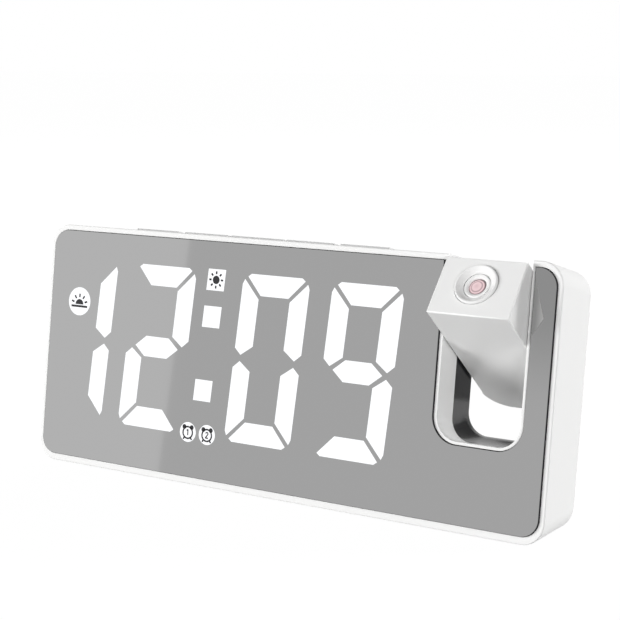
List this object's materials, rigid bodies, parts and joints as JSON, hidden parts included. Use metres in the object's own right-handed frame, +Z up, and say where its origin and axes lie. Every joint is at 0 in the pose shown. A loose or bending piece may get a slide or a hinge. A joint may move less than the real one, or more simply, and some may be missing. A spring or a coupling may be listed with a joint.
{
  "type": "projection alarm clock",
  "caption": "Slim mirror-fronted digital alarm clock with a tilting projector arm in a U-shaped window and a row of keys on top.",
  "frame": {"origin": "centre of the anti-slip pad's underside, on the table", "axes": "+X to the right as seen from the front, +Y to the back, +Z up; the mirror faces -Y and leans back"},
  "size_m": [0.19, 0.0531, 0.0802],
  "materials": {
    "white_shell": "satin moulded ABS",
    "mirror_front": "smoked mirror acrylic",
    "lit_diffuser": "translucent white, lit from behind",
    "light_plastic": "moulded",
    "circuit_board": "solder mask",
    "black_plastic": "moulded",
    "bright_steel": "plated",
    "gold_contact": "plated spring strip",
    "grey_rubber": "matt",
    "dark_liner": "glossy",
    "key_caps": "satin",
    "lens_trim": "satin",
    "red_lamp": "clear red epoxy",
    "clear_lens": "polished",
    "dark_film": "film in a ring",
    "grey_cable": "matt jacket",
    "red_wire": "matt insulation"
  },
  "bodies": {
    "clock": {"front_housing": "white_shell", "mirror_panel": "mirror_front", "segment_diffuser": "lit_diffuser", "digit_frame": "light_plastic", "display_board": "circuit_board", "display_leds": "light_plastic", "board_spacers": "light_plastic", "main_board": "circuit_board", "clock_chips": "black_plastic", "watch_crystal": "bright_steel", "tact_switches": "black_plastic", "board_link": "black_plastic", "board_screws": "bright_steel", "power_inlet": "bright_steel", "buzzer": "black_plastic", "cell_holder": "black_plastic", "coin_cell": "bright_steel", "cell_contact": "gold_contact", "rear_cover": "white_shell", "battery_door": "white_shell", "door_screw": "bright_steel", "case_screws": "bright_steel", "base_pad": "grey_rubber", "window_liner": "dark_liner", "pivot_bushes": "black_plastic", "friction_washers": "bright_steel", "arm_plug": "light_plastic", "arm_cable": "grey_cable"},
    "projector_arm": {"arm_shell": "white_shell", "arm_cover": "white_shell", "arm_screws": "bright_steel", "pivot_tubes": "bright_steel", "lamp_barrel": "black_plastic", "led_board": "circuit_board", "red_led": "red_lamp", "condenser_lens": "clear_lens", "digit_slide": "dark_film", "lamp_leads": "red_wire"},
    "focus": {"focus_ring": "lens_trim"},
    "lens": {"lens_cell": "lens_trim", "projector_lens": "clear_lens"},
    "projector_key": {"key_projector": "key_caps"},
    "alarm_key": {"key_alarm": "key_caps"},
    "snooze_key": {"key_snooze": "key_caps"},
    "down_key": {"key_down": "key_caps"},
    "up_key": {"key_up": "key_caps"}
  },
  "joints": [
    {"name": "arm_turn", "type": "hinge", "parent": "clock", "child": "projector_arm", "pos_m": [0.0718, 0.00724, 0.06026], "axis": [1, 0, 0], "range_deg": [-147.6, 32.4]},
    {"name": "focus_turn", "type": "hinge", "parent": "projector_arm", "child": "focus", "pos_m": [0.0713, -0.00671, 0.07318], "axis": [0, -0.7615, 0.6481], "range_deg": [-95, 95]},
    {"name": "lens_slide", "type": "slide", "parent": "projector_arm", "child": "lens", "axis": [0, -0.7615, 0.6481], "range_m": [-0.00075, 0.00075]},
    {"name": "projector_press", "type": "slide", "parent": "clock", "child": "projector_key", "axis": [0, -0.1392, -0.9903], "range_m": [0, 0.0005], "stiffness_N_per_m": 600},
    {"name": "alarm_press", "type": "slide", "parent": "clock", "child": "alarm_key", "axis": [0, -0.1392, -0.9903], "range_m": [0, 0.0005], "stiffness_N_per_m": 600},
    {"name": "snooze_press", "type": "slide", "parent": "clock", "child": "snooze_key", "axis": [0, -0.1392, -0.9903], "range_m": [0, 0.0005], "stiffness_N_per_m": 600},
    {"name": "down_press", "type": "slide", "parent": "clock", "child": "down_key", "axis": [0, -0.1392, -0.9903], "range_m": [0, 0.0005], "stiffness_N_per_m": 600},
    {"name": "up_press", "type": "slide", "parent": "clock", "child": "up_key", "axis": [0, -0.1392, -0.9903], "range_m": [0, 0.0005], "stiffness_N_per_m": 600}
  ],
  "couplings": [
    {"joint": "focus_turn", "follows": "lens_slide", "rad_per_m": 2094.4}
  ]
}
